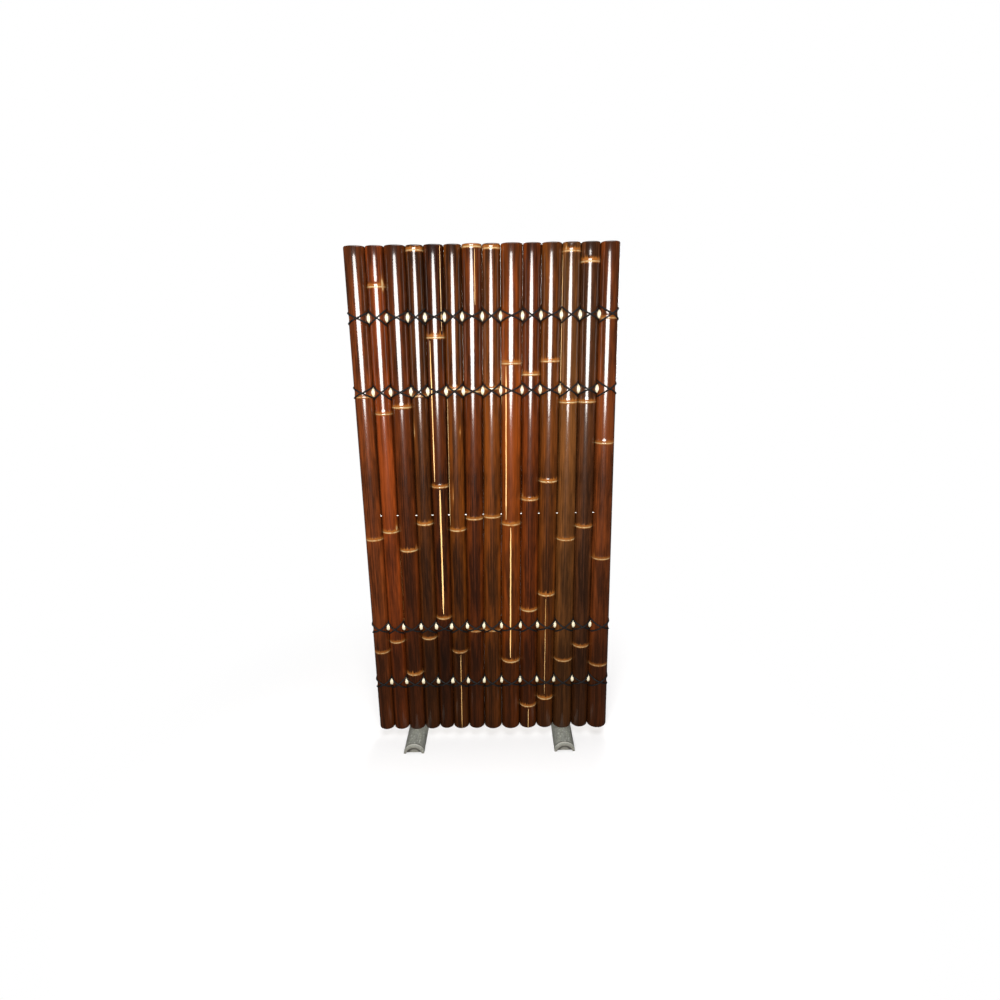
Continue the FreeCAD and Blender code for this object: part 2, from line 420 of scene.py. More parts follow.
def shifted(tree, mesh, offset):
    """A mesh whose points are moved."""
    return result(tree, "GeometryNodeSetPosition", {"Geometry": mesh, "Offset": offset})


def geometry_tree(name, sizes, counts=(), colours=()):
    """A geometry tree with an input for the lines it works on and one for each named size."""
    tree = bpy.data.node_groups.new(name, "GeometryNodeTree")
    tree.interface.new_socket("Geometry", in_out="INPUT", socket_type="NodeSocketGeometry")
    for labels, kind in ((counts, "NodeSocketInt"), (sizes, "NodeSocketFloat"),
                         (colours, "NodeSocketColor")):
        for label in labels:
            tree.interface.new_socket(label, in_out="INPUT", socket_type=kind)
    tree.interface.new_socket("Geometry", in_out="OUTPUT", socket_type="NodeSocketGeometry")
    return tree, tree.nodes.new("NodeGroupInput").outputs


def lines_of_kind(tree, lines, kind):
    """The lines of one kind, as curves."""
    same = result(tree, "FunctionNodeCompare", {2: attribute(tree, "kind", "INT"), 3: kind},
                  data_type="INT", operation="EQUAL")
    parted = result(tree, "GeometryNodeSeparateGeometry", {"Geometry": lines, "Selection": same})
    return result(tree, "GeometryNodeMeshToCurve", {"Mesh": parted})


def swept(tree, lines, kind, sides):
    """Closed round solids along the lines of one kind."""
    inputs = {
        "Curve": lines_of_kind(tree, lines, kind),
        "Profile Curve": circle(tree, sides),
        "Scale": attribute(tree, "reach"),
        "Fill Caps": True,
    }
    return result(tree, "GeometryNodeCurveToMesh", inputs)


def circle(tree, sides):
    """A circle with a radius of one."""
    return result(tree, "GeometryNodeCurvePrimitiveCircle", {"Resolution": sides, "Radius": 1.0})


def ring_profile(tree, distance, ridge, scar_line):
    """The height of a node over the plain culm: a rounded ridge and a sharp sheath scar below it."""
    def bump(height, middle, spread):
        away = maths(tree, "DIVIDE", maths(tree, "SUBTRACT", distance, middle), spread)
        fall = maths(tree, "EXPONENT", times(tree, times(tree, away, away), -1.0))
        return times(tree, fall, height)
    return maths(tree, "ADD", bump(ridge, RIDGE_MIDDLE, RIDGE_SPREAD),
                 bump(scar_line, SCAR_MIDDLE, SCAR_SPREAD))


def ringed(tree, mesh, ridge, scar_line):
    """Raises the rings of a swept solid, but not at its left and right, where neighbours touch."""
    rise = ring_profile(tree, attribute(tree, "from_ring"), ridge, scar_line)
    level = unit_of(tree, level_part(tree, result(tree, "GeometryNodeInputNormal")))
    sideways = maths(tree, "ABSOLUTE", part_of(tree, level, "X"))
    free = remap(tree, sideways, 0.86, 0.99, 1.0, 0.0)
    return shifted(tree, mesh, scaled(tree, level, times(tree, rise, free)))


def uneven(tree, mesh, amount, seed, stretch):
    """Moves a surface in and out by a soft noise, level with the floor of its own frame."""
    inputs = {0: position(tree), 1: stretch}
    spread = result(tree, "ShaderNodeVectorMath", inputs, operation="MULTIPLY")
    noise = result(tree, "ShaderNodeTexNoise",
                   {"Vector": spread, "W": seed, "Scale": 1.0, "Detail": 2.0},
                   noise_dimensions="4D")
    shift = times(tree, maths(tree, "SUBTRACT", noise, 0.5), times(tree, amount, 2.0))
    level = level_part(tree, result(tree, "GeometryNodeInputNormal"))
    return shifted(tree, mesh, scaled(tree, level, shift))


def ringed_tube(tree, given, stretch):
    """A closed, ringed and slightly uneven solid along the spine."""
    solid = swept(tree, given["Geometry"], SPINE, given["Sides"])
    solid = ringed(tree, solid, given["Ridge"], given["Sheath Scar"])
    return uneven(tree, solid, given["Wobble"], given["Seed"], stretch)


def stored(tree, mesh, name, value, kind="FLOAT", domain="POINT", where=True):
    """Keeps a value on the mesh for the materials."""
    inputs = {"Geometry": mesh, "Selection": where, "Name": name, "Value": value}
    return result(tree, "GeometryNodeStoreNamedAttribute", inputs, data_type=kind, domain=domain)


def smoothed(tree, mesh):
    """Smooth shading with sharp edges where the surface turns."""
    mesh = result(tree, "GeometryNodeSetShadeSmooth", {"Geometry": mesh})
    turn = result(tree, "GeometryNodeInputMeshEdgeAngle")
    sharp = maths(tree, "GREATER_THAN", turn, SHARP_TURN)
    inputs = {"Geometry": mesh, "Selection": sharp, "Shade Smooth": False}
    return result(tree, "GeometryNodeSetShadeSmooth", inputs, domain="EDGE")


def finished(tree, mesh, material, cut_material=None):
    """The end of a tree: plain geometry with its material, and another on what was cut."""
    mesh = result(tree, "GeometryNodeRealizeInstances", {"Geometry": mesh})
    mesh = result(tree, "GeometryNodeSetMaterial", {"Geometry": mesh, "Material": material})
    if cut_material:
        cut = attribute(tree, "cut", "BOOLEAN")
        inputs = {"Geometry": mesh, "Selection": cut, "Material": cut_material}
        mesh = result(tree, "GeometryNodeSetMaterial", inputs)
    tree.links.new(mesh, tree.nodes.new("NodeGroupOutput").inputs[0])
    return tree


def cut_away(tree, solid, cutters):
    """Takes cutters out of a solid, and marks the faces that they leave and its level ends."""
    solid = stored(tree, solid, "cut", False, "BOOLEAN", "FACE")
    taken = add_node(tree, "GeometryNodeMeshBoolean", {"Mesh 1": solid}, operation="DIFFERENCE",
                     solver="MANIFOLD")
    for cutter in cutters:
        marked = stored(tree, cutter, "cut", True, "BOOLEAN", "FACE")
        tree.links.new(marked, taken.inputs["Mesh 2"])
    upright = part_of(tree, result(tree, "GeometryNodeInputNormal"), "Z")
    flat = maths(tree, "GREATER_THAN", maths(tree, "ABSOLUTE", upright), 0.95)
    return stored(tree, taken.outputs["Mesh"], "cut", True, "BOOLEAN", "FACE", flat)


def culm_tree(skin, bare):
    """The tree of one culm: a ringed tube, split, bored and drilled, then leaned and set in place."""
    tree, given = geometry_tree(
        "culm", counts=("Sides",), colours=("Deep Tone", "Warm Tone"),
        sizes=("Ridge", "Sheath Scar", "Wobble", "Seed", "Length", "Foot X", "Top X",
               "Foot Height"))
    solid = ringed_tube(tree, given, (14.0, 14.0, 2.6))
    cutters = [swept(tree, given["Geometry"], kind, sides) for kind, sides in
               ((SPLIT, SPLIT_SIDES), (BORE, CUTTER_SIDES), (DRILL, CUTTER_SIDES))]
    mesh = cut_away(tree, solid, cutters)
    place = position(tree)
    mesh = stored(tree, mesh, "place", place, "FLOAT_VECTOR")
    mesh = stored(tree, mesh, "deep_tone", given["Deep Tone"], "FLOAT_COLOR")
    mesh = stored(tree, mesh, "warm_tone", given["Warm Tone"], "FLOAT_COLOR")
    lean = maths(tree, "SUBTRACT", given["Top X"], given["Foot X"])
    share = maths(tree, "DIVIDE", part_of(tree, place, "Z"), given["Length"])
    across = maths(tree, "MULTIPLY_ADD", share, lean, given["Foot X"])
    offset = result(tree, "ShaderNodeCombineXYZ", {"X": across, "Z": given["Foot Height"]})
    return finished(tree, smoothed(tree, shifted(tree, mesh, offset)), skin, bare)


def foot_tree(skin, bare):
    """The tree of one foot: a ringed tube, hollowed between its diaphragms and cut level."""
    tree, given = geometry_tree("split_foot", counts=("Sides",),
                                sizes=("Ridge", "Sheath Scar", "Wobble", "Seed", "Floor"))
    solid = ringed_tube(tree, given, (30.0, 30.0, 9.0))
    bores = swept(tree, given["Geometry"], BORE, CUTTER_SIDES)
    block = result(tree, "GeometryNodeMeshCube", {"Size": (1.0, 1.0, 1.0)})
    low = result(tree, "ShaderNodeCombineXYZ", {"Y": maths(tree, "SUBTRACT", given["Floor"], 0.5)})
    block = result(tree, "GeometryNodeTransform", {"Geometry": block, "Translation": low})
    mesh = cut_away(tree, solid, (bores, block))
    mesh = stored(tree, mesh, "place", position(tree), "FLOAT_VECTOR")
    return finished(tree, smoothed(tree, mesh), skin, bare)


def bar_tree(name, material):
    """The tree of a rod or a wire: a round bar along its line, a little uneven."""
    tree, given = geometry_tree(name, counts=("Sides",), sizes=("Wobble", "Seed"))
    mesh = swept(tree, given["Geometry"], SPINE, given["Sides"])
    mesh = uneven(tree, mesh, given["Wobble"], given["Seed"], (40.0, 40.0, 6.0))
    mesh = stored(tree, mesh, "place", position(tree), "FLOAT_VECTOR")
    return finished(tree, smoothed(tree, mesh), material)


def cord_tree(material):
    """The tree of a lashing: three twisted strands swept along each of its endless lines."""
    tree, given = geometry_tree("lashing", counts=("Points",), sizes=("Pitch", "Step", "Groove"))
    curve = lines_of_kind(tree, given["Geometry"], SPINE)
    curve = result(tree, "GeometryNodeCurveSplineType", {"Curve": curve},
                   spline_type="CATMULL_ROM")
    curve = result(tree, "GeometryNodeResampleCurve", {"Curve": curve, "Length": given["Step"]},
                   mode="LENGTH")
    along = add_node(tree, "GeometryNodeSplineParameter").outputs["Length"]
    tilt = times(tree, maths(tree, "DIVIDE", along, given["Pitch"]), math.tau)
    curve = result(tree, "GeometryNodeSetCurveTilt", {"Curve": curve, "Tilt": tilt})
    place = position(tree)
    angle = maths(tree, "ARCTAN2", part_of(tree, place, "Y"), part_of(tree, place, "X"))
    lobes = maths(tree, "COSINE", times(tree, angle, 3.0))
    hollow = maths(tree, "SUBTRACT", 1.0, lobes)
    dip = times(tree, hollow, times(tree, given["Groove"], 0.5))
    lobed = scaled(tree, place, maths(tree, "SUBTRACT", 1.0, dip))
    ring = result(tree, "GeometryNodeSetPosition",
                  {"Geometry": circle(tree, given["Points"]), "Position": lobed})
    # How deep each point lies in a groove between the strands, for the painted shade there
    ring = stored(tree, ring, "groove", times(tree, hollow, 0.5))
    inputs = {"Curve": curve, "Profile Curve": ring, "Scale": attribute(tree, "reach"),
              "Fill Caps": True}
    mesh = result(tree, "GeometryNodeCurveToMesh", inputs)
    mesh = result(tree, "GeometryNodeSetShadeSmooth", {"Geometry": mesh})
    return finished(tree, mesh, material)


def lines_mesh(name, lines):
    """A mesh of separate lines, each given as its kind, whether it is closed, and its points."""
    edges, points, kinds = [], [], []
    for kind, closed, run in lines:
        first = len(points)
        points += run
        kinds += [kind] * len(run)
        edges += [(number, number + 1) for number in range(first, len(points) - 1)]
        if closed:
            edges.append((len(points) - 1, first))
    mesh = bpy.data.meshes.new(name)
    mesh.from_pydata([point.place for point in points], edges, [])
    mesh.attributes.new("kind", "INT", "POINT").data.foreach_set("value", kinds)
    for label in ("reach", "from_ring", "ring_look"):
        values = [getattr(point, label) for point in points]
        mesh.attributes.new(label, "FLOAT", "POINT").data.foreach_set("value", values)
    return mesh


def grow(name, lines, tree, sizes):
    """Runs a geometry tree on lines and returns the result as an object with a plain mesh."""
    source = bpy.data.objects.new(name + "_lines", lines_mesh(name + "_lines", lines))
    bpy.context.scene.collection.objects.link(source)
    modifier = source.modifiers.new("shape", "NODES")
    modifier.node_group = tree
    for item in tree.interface.items_tree:
        if item.in_out == "INPUT" and item.name in sizes:
            modifier[item.identifier] = sizes[item.name]
    depsgraph = bpy.context.evaluated_depsgraph_get()
    mesh = bpy.data.meshes.new_from_object(source.evaluated_get(depsgraph), depsgraph=depsgraph)
    source.modifiers.remove(modifier)
    lines_data = source.data
    bpy.data.objects.remove(source)
    bpy.data.meshes.remove(lines_data)
    if not mesh.polygons:
        raise RuntimeError(name + " came out empty")
    mesh.name = name
    made = bpy.data.objects.new(name, mesh)
    bpy.context.scene.collection.objects.link(made)
    for label in ("kind", "reach", "cut"):
        if label in mesh.attributes:
            mesh.attributes.remove(mesh.attributes[label])
    return made


def settle(piece, slot, *nodes):
    """Hands a finished piece to the frame: it rides on the panel and stands for its CAD nodes."""
    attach(piece, "root")
    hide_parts(*nodes)


# Materials

def new_material(name):
    """A material with an empty tree but for the shader, which is returned too."""
    material = bpy.data.materials.new(name)
    material.use_nodes = True
    return material, material.node_tree, material.node_tree.nodes["Principled BSDF"]


def surface_value(tree, name):
    """A number kept on the mesh."""
    return add_node(tree, "ShaderNodeAttribute", attribute_name=name).outputs["Fac"]


def surface_colour(tree, name):
    """A colour kept on the mesh."""
    return add_node(tree, "ShaderNodeAttribute", attribute_name=name).outputs["Color"]


def own_place(tree):
    """The place on a piece in the frame that it was grown in, in metres."""
    return add_node(tree, "ShaderNodeAttribute", attribute_name="place").outputs["Vector"]


def object_place(tree):
    """The place on the piece, in metres."""
    return add_node(tree, "ShaderNodeTexCoord").outputs["Object"]


def grain(tree, place, stretch, detail=3.0, roughness=0.55):
    """Noise from 0 to 1 stretched by a scale for each axis."""
    spread = result(tree, "ShaderNodeMapping", {"Vector": place, "Scale": stretch})
    inputs = {"Vector": spread, "Scale": 1.0, "Detail": detail, "Roughness": roughness}
    return result(tree, "ShaderNodeTexNoise", inputs)


def blend(tree, share, first, second, way="MIX"):
    """Two colours mixed."""
    return add_node(tree, "ShaderNodeMix", {0: share, 6: first, 7: second}, data_type="RGBA",
                    blend_type=way).outputs[2]


def bumped(tree, shader, layers):
    """Gives a shader's normal a bump of several heights, each (height, distance, strength)."""
    normal = None
    for height, distance, strength in layers:
        inputs = {"Height": height, "Distance": distance, "Strength": strength}
        if normal:
            inputs["Normal"] = normal
        normal = result(tree, "ShaderNodeBump", inputs)
    feed(tree, shader, {"Normal": normal})


def lacquered_bamboo():
    """Dark lacquer: streaks along the fibres, patches of painted sheen, painted shade towards the
    ground, painted light round the sides, and rings where it is worn off.
    """
    settings = bpy.context.scene.fence_culms
    material, tree, shader = new_material("lacquered_bamboo")
    place = own_place(tree)
    clouds = grain(tree, place, (20.0, 20.0, 4.2), 3.0)
    patches = grain(tree, place, (75.0, 75.0, 9.0), 4.0, 0.65)
    streaks = grain(tree, place, (210.0, 210.0, 2.2), 4.0, 0.6)
    fibres = grain(tree, place, (900.0, 900.0, 9.0), 2.0)
    warmth = maths(tree, "MULTIPLY_ADD", streaks, 0.40, times(tree, clouds, 0.56))
    warmth = maths(tree, "MULTIPLY_ADD", patches, 0.40, warmth)
    # Patches of painted sheen make the lacquer warmer and lighter
    warmth = maths(tree, "MULTIPLY_ADD", surface_value(tree, "glow"), 0.18, warmth)
    colour = blend(tree, remap(tree, warmth, 0.56, 0.88), surface_colour(tree, "deep_tone"),
                   surface_colour(tree, "warm_tone"))
    # Painted shade: the lacquer is darker and browner towards the ground, where less light falls
    height = part_of(tree, place, "Z")
    depth = times(tree, remap(tree, height, 0.0, 0.8, 0.60, 1.0), settings.depth)
    painted_ground_shade = remap(tree, height, 0.0, 0.5, 0.45, 0.0)
    colour = blend(tree, painted_ground_shade, colour, tone(84, 46, 19))
    # Painted light: the lacquer is paler round the sides, where the lamps only graze the culms
    across = unit_of(tree, level_part(tree, place))
    sideways = maths(tree, "ABSOLUTE", part_of(tree, across, "X"))
    depth = times(tree, depth, remap(tree, sideways, 0.25, 0.90, 1.0, 1.55))
    shade = times(tree, remap(tree, fibres, 0.25, 0.75, 0.66, 1.30), depth)
    colour = blend(tree, 1.0, colour, shade, "MULTIPLY")
    # Rings: a thin pale line, and a glow of worn lacquer that runs up the fibres
    above = surface_value(tree, "from_ring")
    look = surface_value(tree, "ring_look")
    at_ring = remap(tree, look, 0.02, 0.12)
    tongues = grain(tree, place, (260.0, 260.0, 5.0), 3.0, 0.6)
    tongue = remap(tree, tongues, 0.40, 0.72)
    reach_up = maths(tree, "MULTIPLY_ADD", times(tree, tongue, look), 0.026, 0.009)
    reach_down = maths(tree, "MULTIPLY_ADD", tongue, -0.005, -0.010)
    worn_up = remap(tree, above, -0.001, reach_up, 1.0, 0.0)
    worn_down = remap(tree, above, reach_down, -0.0045, 0.0, 1.0)
    strength = times(tree, at_ring, remap(tree, look, 0.1, 0.8, 0.55, 1.0))
    worn = times(tree, times(tree, worn_up, worn_down), strength)
    scar = times(tree, surface_value(tree, "scar"), remap(tree, tongues, 0.2, 0.6, 0.35, 1.0))
    worn = maths(tree, "MAXIMUM", worn, scar)
    colour = blend(tree, remap(tree, worn, 0.02, 0.9, 0.0, 0.85), colour, tone(132, 78, 28))
    broken = remap(tree, grain(tree, place, (90.0, 90.0, 40.0), 2.0), 0.30, 0.60, 0.25, 1.0)
    from_line = away_from(tree, above, -0.0042)
    line = times(tree, remap(tree, from_line, 0.0008, 0.0032, 1.0, 0.0), broken)
    line = times(tree, line, strength)
    pale = maths(tree, "MAXIMUM", line, remap(tree, scar, 0.45, 0.9, 0.0, 0.8))
    colour = blend(tree, pale, colour, tuple(settings.ring_colour))
    # A painted shadow: a dark line in the hollow just under each ring
    from_groove_shade = away_from(tree, above, -0.0014)
    groove = times(tree, remap(tree, from_groove_shade, 0.0003, 0.0012, 0.35, 0.0), at_ring)
    colour = blend(tree, groove, colour, tone(34, 15, 7))
    gloss = maths(tree, "MULTIPLY_ADD", worn, 0.12, remap(tree, streaks, 0.2, 0.8, 0.30, 0.44))
    feed(tree, shader, {"Base Color": colour, "Roughness": gloss, "Specular IOR Level": 0.05,
                        "Coat Weight": 1.0, "Coat Roughness": 0.125})
    ripple = grain(tree, place, (60.0, 60.0, 10.0), 2.0)
    dimple = grain(tree, place, (150.0, 150.0, 36.0), 2.0)
    bumped(tree, shader, ((fibres, 0.0005, 0.30), (ripple, 0.0022, 0.45), (dimple, 0.0010, 0.40)))
    return material


def bare_bamboo():
    """Unlacquered bamboo where a culm is split, drilled or sawn: pale, with fibres and dots."""
    settings = bpy.context.scene.fence_culms
    material, tree, shader = new_material("bare_bamboo")
    place = own_place(tree)
    fibres = grain(tree, place, (700.0, 700.0, 6.0), 3.0)
    dots = grain(tree, place, (1400.0, 1400.0, 2.0), 1.0)
    colour = blend(tree, remap(tree, fibres, 0.3, 0.75), tuple(settings.bare_colour),
                   tone(186, 142, 74))
    colour = blend(tree, remap(tree, dots, 0.6, 0.72, 0.0, 0.5), colour, tone(136, 92, 44))
    feed(tree, shader, {"Base Color": colour, "Roughness": 0.55})
    bumped(tree, shader, ((fibres, 0.0005, 0.4),))
    return material


def pale_rod():
    """Peeled cream rod with fine fibres along it."""
    settings = bpy.context.scene.fence_rods
    material, tree, shader = new_material("pale_rod")
    place = own_place(tree)
    fibres = grain(tree, place, (600.0, 600.0, 5.0), 4.0, 0.6)
    clouds = grain(tree, place, (40.0, 40.0, 8.0), 2.0)
    colour = blend(tree, remap(tree, fibres, 0.35, 0.8), tuple(settings.colour),
                   tone(182, 164, 126))
    colour = blend(tree, remap(tree, clouds, 0.45, 0.8, 0.0, 0.35), colour, tone(192, 178, 142))
    feed(tree, shader, {"Base Color": colour,
                        "Roughness": remap(tree, fibres, 0.2, 0.8, 0.42, 0.6)})
    bumped(tree, shader, ((fibres, 0.0005, 0.3),))
    return material


def black_cord():
    """Black twisted cord: fuzzy, greyer on the crowns of its strands, with painted shade in the
    grooves between them.
    """
    settings = bpy.context.scene.fence_cords
    material, tree, shader = new_material("black_cord")
    groove = surface_value(tree, "groove")
    fuzz = grain(tree, object_place(tree), (1800.0, 1800.0, 1800.0), 2.0)
    # Painted shade in the grooves between the strands
    colour = blend(tree, remap(tree, groove, 0.1, 0.9), tuple(settings.colour), tone(5, 5, 6))
    colour = blend(tree, remap(tree, fuzz, 0.45, 0.75, 0.0, 0.5), colour, tone(24, 24, 26))
    feed(tree, shader, {"Base Color": colour, "Roughness": 0.62, "Specular IOR Level": 0.2})
    bumped(tree, shader, ((fuzz, 0.0006, 0.5),))
    return material


def galvanised_wire():
    """Bright zinc with a soft spangle."""
    material, tree, shader = new_material("galvanised_wire")
    spangle = grain(tree, object_place(tree), (420.0, 420.0, 420.0), 1.0)
    feed(tree, shader, {"Base Color": blend(tree, spangle, tone(150, 151, 152), tone(196, 196, 194)),
                        "Roughness": remap(tree, spangle, 0.3, 0.7, 0.28, 0.46), "Metallic": 1.0})
    return material


def weathered_bamboo():
    """Old grey bamboo: streaked along the fibres, greenish in places, with dark stains and specks."""
    settings = bpy.context.scene.fence_feet
    material, tree, shader = new_material("weathered_bamboo")
    place = own_place(tree)
    fibres = grain(tree, place, (420.0, 420.0, 12.0), 4.0, 0.65)
    clouds = grain(tree, place, (34.0, 34.0, 22.0), 4.0)
    specks = grain(tree, place, (190.0, 190.0, 120.0), 2.0)
    above = surface_value(tree, "from_ring")
    layers = (
        (remap(tree, fibres, 0.3, 0.72), tone(104, 104, 98)),
        (remap(tree, clouds, 0.42, 0.75, 0.0, 0.45), tone(122, 124, 108)),
        (remap(tree, clouds, 0.25, 0.45, 0.6, 0.0), tone(74, 71, 65)),
        (remap(tree, specks, 0.56, 0.70, 0.0, 0.6), tone(80, 79, 71)),
        (remap(tree, specks, 0.30, 0.44, 0.5, 0.0), tone(178, 180, 172)),
        # A painted highlight on the ridge of each ring, and a painted shadow in the line just below it
        (remap(tree, away_from(tree, above, 0.003), 0.001, 0.006, 0.8, 0.0), tone(166, 165, 156)),
        (remap(tree, away_from(tree, above, -0.0018), 0.0006, 0.0022, 0.85, 0.0), tone(28, 26, 23)),
    )
    colour = tuple(settings.colour)
    for share, over in layers:
        colour = blend(tree, share, colour, over)
    feed(tree, shader, {"Base Color": colour,
                        "Roughness": remap(tree, fibres, 0.2, 0.8, 0.5, 0.75)})
    bumped(tree, shader, ((fibres, 0.0010, 0.5),))
    return material


def weathered_cut():
    """The cut ends and the inside of a weathered foot, with painted shade in the corners of its end
    walls and inside its arch.
    """
    settings = bpy.context.scene.fence_feet
    material, tree, shader = new_material("weathered_cut")
    place = own_place(tree)
    bore = settings.radius - settings.wall
    out = length_of(tree, level_part(tree, place))
    # Painted shade: dark towards the rim of each end wall and on the inside of the arch
    painted_corner_shade = times(tree, remap(tree, out, bore - 0.015, bore - 0.009, 0.0, 0.9),
                   remap(tree, out, bore + 0.0003, bore + 0.0008, 1.0, 0.0))
    fibres = grain(tree, place, (500.0, 500.0, 9.0), 3.0)
    colour = blend(tree, remap(tree, fibres, 0.3, 0.75), tone(116, 115, 107), tone(84, 82, 74))
    colour = blend(tree, painted_corner_shade, colour, tone(40, 38, 33))
    feed(tree, shader, {"Base Color": colour, "Roughness": 0.8})
    bumped(tree, shader, ((fibres, 0.0008, 0.5),))
    return material


def peg_wood():
    """Bare wood of the pegs inside the culms."""
    material, tree, shader = new_material("peg_wood")
    fibres = grain(tree, object_place(tree), (500.0, 500.0, 10.0), 4.0)
    colour = blend(tree, fibres, tone(196, 156, 104), tone(150, 110, 68))
    feed(tree, shader, {"Base Color": colour, "Roughness": 0.7})
    bumped(tree, shader, ((fibres, 0.0006, 0.4),))
    return material


# Culms

def culm_heights(nodes, length):
    """Heights of the points along a culm's axis: close together at the rings and the sawn ends."""
    rounding = bpy.context.scene.fence_culms.rounding
    heights = {rounding * share for share in EDGE_SHARES}
    heights |= {length - rounding * share for share in EDGE_SHARES}
    heights.update(node + step for node in nodes for step in RING_STEPS)
    count = round(length / PLAIN_STEP)
    plain = (length * number / count for number in range(1, count))
    clear = RING_REACH + PLAIN_STEP / 3
    heights.update(height for height in plain if abs(from_ring(nodes, height)) > clear)
    return sorted(height for height in heights if 0.0 <= height <= length)


def sawn_edge(height, length, rounding):
    """How much a culm is rounded off near its sawn ends."""
    inside = max(0.0, rounding - min(height, length - height))
    return rounding - math.sqrt(max(0.0, rounding ** 2 - inside ** 2))


def axis_line(culm):
    """The axis of a culm, with its thickness and the wear of its rings."""
    settings = bpy.context.scene.fence_culms
    points = []
    for height in culm_heights(culm.nodes, settings.length):
        edge = sawn_edge(height, settings.length, settings.rounding)
        above = from_ring(culm.nodes, height)
        nearest = min(range(len(culm.nodes)), key=lambda number: abs(height - culm.nodes[number]))
        look = culm.looks[nearest] if abs(above) <= RING_REACH + 0.001 else 0.0
        reach = radius_at(culm, height) + settings.swell - edge
        points.append(Point((0.0, 0.0, height), reach, above, look))
    return (SPINE, False, points)


def split_line(culm, split, chance):
    """The line of a drying split, which wanders a little and narrows towards its ends."""
    points = []
    count = max(8, round((split.high - split.low) / SPLIT_STEP))
    for number in range(count + 1):
        share = number / count
        height = split.low + (split.high - split.low) * share
        angle = math.radians(split.angle) + chance.uniform(-SPLIT_WANDER, SPLIT_WANDER)
        out = radius_at(culm, height) + bpy.context.scene.fence_culms.swell
        taper = min(1.0, 0.35 + 6.0 * min(share, 1.0 - share))
        place = (out * math.sin(angle), -out * math.cos(angle), height)
        points.append(Point(place, split.width / 2 * taper * chance.uniform(*SPLIT_WIDTHS)))
    return (SPLIT, False, points)


def cutter_line(kind, start, end, radius):
    """The line of a bore or a drill between two places."""
    return (kind, False, [Point(start, radius), Point(end, radius)])


def bore_line(low, high, radius):
    """The line of a bore along the axis of a culm or a foot."""
    return cutter_line(BORE, (0.0, 0.0, low), (0.0, 0.0, high), radius)


def culm_lines(index):
    """The lines of one culm in its own frame: axis, splits, hollow ends and holes for the rods."""
    settings = bpy.context.scene.fence_culms
    rods = bpy.context.scene.fence_rods
    culm = culms[index]
    chance = random.Random(100 + index)
    lines = [axis_line(culm)]
    lines += [split_line(culm, split, chance) for split in culm.splits]
    first, last = culm.nodes[0], culm.nodes[-1]
    low_bore = min(radius_at(culm, 0.0), radius_at(culm, first)) - settings.wall
    lines.append(bore_line(-PAST_END, first - settings.diaphragm / 2, low_bore))
    floor = last + settings.diaphragm / 2
    if floor < settings.length:
        high_bore = min(radius_at(culm, last), radius_at(culm, settings.length)) - settings.wall
        lines.append(bore_line(floor, settings.length + PAST_END, high_bore))
    for name in RODS + ("middle_wire",):
        depth, height = axis_of(name)
        height -= settings.stand
        radius = (rods.diameter if name in RODS else rods.wire) / 2 + rods.clearance
        lines.append(cutter_line(DRILL, (-DRILL_REACH, depth, height),
                                 (DRILL_REACH, depth, height), radius))
    return lines


def patch_weight(places, patch, up_share):
    """How much of a patch each place on a culm shows, from 0 to 1."""
    angle = np.degrees(np.arctan2(places[:, 0], -places[:, 1])) - patch.angle
    angle = (angle + 180.0) % 360.0 - 180.0
    rise = places[:, 2] - patch.height
    tall = np.where(rise > 0.0, patch.tall * up_share, patch.tall)
    return patch.strength * np.exp(-(angle / patch.wide) ** 2 - (rise / tall) ** 2)


def mark_places(piece, culm):
    """Writes where a culm has branch scars and patches of painted sheen, for its material."""
    mesh = piece.data
    places = np.empty(len(mesh.vertices) * 3, dtype=np.float32)
    mesh.attributes["place"].data.foreach_get("vector", places)
    places = places.reshape(-1, 3)
    for label, patches, up_share in (("scar", culm.scars, 1.6), ("glow", culm.glows, 1.0)):
        values = np.zeros(len(places), dtype=np.float32)
        for patch in patches:
            values = np.maximum(values, patch_weight(places, patch, up_share))
        values = values.astype(np.float32)
        mesh.attributes.new(label, "FLOAT", "POINT").data.foreach_set("value", values)


class FENCE_OT_culms(bpy.types.Operator):
    """Builds the lacquered culms with their rings, splits, holes and hollow ends"""
    bl_idname = "fence.culms"
    bl_label = "Culms"

    def execute(self, context):
        settings = context.scene.fence_culms
        tree = culm_tree(lacquered_bamboo(), bare_bamboo())
        for index, culm in enumerate(culms):
            node = "culm_%02d" % (index + 1)
            sizes = {
                "Sides": settings.sides,
                "Ridge": settings.ridge, "Sheath Scar": settings.scar_line,
                "Wobble": settings.wobble, "Seed": 3.7 * index,
                "Length": settings.length, "Foot Height": settings.stand,
                "Foot X": centre_x(index, 0.0), "Top X": centre_x(index, settings.length),
                "Deep Tone": culm.deep, "Warm Tone": culm.warm,
            }
            piece = grow("dressed_" + node, culm_lines(index), tree, sizes)
            mark_places(piece, culm)
            settle(piece, "lacquered_bamboo", node)
        return {"FINISHED"}


# Rods and wire

def bar_points(length, radius, rounding):
    """Points along a round bar on Z from 0 to a length, with its ends rounded off."""
    edge = []
    for share in BAR_EDGE_SHARES:
        inset = 1.0 - math.sqrt(1.0 - (1.0 - share) ** 2)
        edge.append(Point((0.0, 0.0, rounding * share), radius - rounding * inset))
    points = edge + [Point((0.0, 0.0, length * number / BAR_STEPS), radius)
                     for number in range(1, BAR_STEPS)]
    points += [Point((0.0, 0.0, length - point.place[2]), point.reach) for point in edge[::-1]]
    return points


def build_bar(node, tree, slot, radius, rounding, sides, wobble, seed):
    """Builds a rod or wire along X, where its CAD node lies."""
    low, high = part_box(node)
    spine = (SPINE, False, bar_points(high[0] - low[0], radius, rounding))
    sizes = {"Sides": sides, "Wobble": wobble, "Seed": seed}
    piece = grow("dressed_" + node, [spine], tree, sizes)
    start = Matrix.Translation((low[0], *axis_of(node)))
    piece.data.transform(start @ Matrix.Rotation(math.radians(90), 4, "Y"))
    settle(piece, slot, node)


